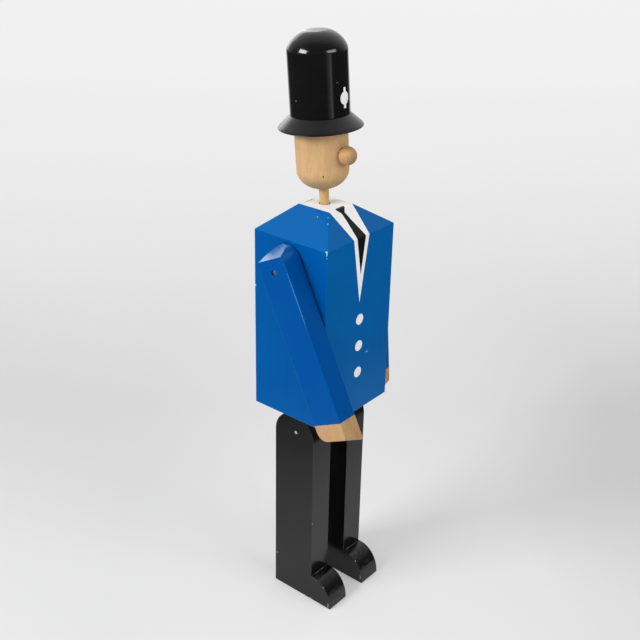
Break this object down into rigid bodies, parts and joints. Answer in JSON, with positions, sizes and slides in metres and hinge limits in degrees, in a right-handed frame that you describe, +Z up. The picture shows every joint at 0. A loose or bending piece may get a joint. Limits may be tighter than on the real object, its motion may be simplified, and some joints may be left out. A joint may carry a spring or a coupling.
{
  "type": "jointed wooden figure",
  "caption": "Standing jointed figure of painted wood with a box-shaped coat, board arms and legs that swing, and a turned head with a ball nose under a tall domed hat.",
  "frame": {"origin": "floor level, in the middle of the bounding box of the figure as it stands with its right arm raised forward", "axes": "+Z up along the standing figure, which faces -Y; its right side is at -X"},
  "size_m": [0.243, 0.2264, 0.9656],
  "materials": {
    "blue_lacquer": "glossy blue lacquer on smooth wood, small chips on the edges",
    "black_lacquer": "glossy black lacquer on smooth wood",
    "white_paint": "glossy white paint on wood",
    "bare_wood": "clear-varnished pale wood with fine straight grain",
    "raw_pine": "unfinished sawn softwood, hidden inside",
    "steel": "dull zinc-plated steel",
    "brass_pin": "tarnished brass"
  },
  "bodies": {
    "coat": {"coat_front": "blue_lacquer", "coat_back": "blue_lacquer", "coat_right_side": "blue_lacquer", "coat_left_side": "blue_lacquer", "shoulder_block": "blue_lacquer", "coat_base": "raw_pine", "shoulder_rail": "raw_pine", "hip_block": "black_lacquer", "hip_block_screw_front": "steel", "hip_block_screw_back": "steel", "hip_pin": "brass_pin", "right_arm_screw": "steel", "left_arm_screw": "steel", "right_arm_washer": "steel", "left_arm_washer": "steel", "right_hip_washer": "steel", "left_hip_washer": "steel"},
    "head": {"neck_dowel": "bare_wood", "head": "bare_wood", "nose": "bare_wood", "nose_peg": "bare_wood", "hat_brim": "black_lacquer", "hat_crown": "black_lacquer", "hat_peg": "raw_pine"},
    "right_arm": {"right_arm": "blue_lacquer"},
    "left_arm": {"left_arm": "blue_lacquer"},
    "right_leg": {"right_leg": "black_lacquer"},
    "left_leg": {"left_leg": "black_lacquer"}
  },
  "joints": [
    {"name": "neck_turn", "type": "hinge", "parent": "coat", "child": "head", "pos_m": [0, 0.04052, 0.706], "axis": [-0.0157, 0.0732, 0.9972], "continuous": true},
    {"name": "right_shoulder", "type": "hinge", "parent": "coat", "child": "right_arm", "pos_m": [-0.10325, 0.03622, 0.6295], "axis": [1, 0, 0], "continuous": true},
    {"name": "left_shoulder", "type": "hinge", "parent": "coat", "child": "left_arm", "pos_m": [0.10325, 0.03622, 0.6295], "axis": [1, 0, 0], "continuous": true},
    {"name": "right_hip", "type": "hinge", "parent": "coat", "child": "right_leg", "pos_m": [-0.0452, 0.03622, 0.327], "axis": [1, 0, 0], "range_deg": [-80, 45]},
    {"name": "left_hip", "type": "hinge", "parent": "coat", "child": "left_leg", "pos_m": [0.0452, 0.03622, 0.327], "axis": [1, 0, 0], "range_deg": [-80, 45]}
  ]
}
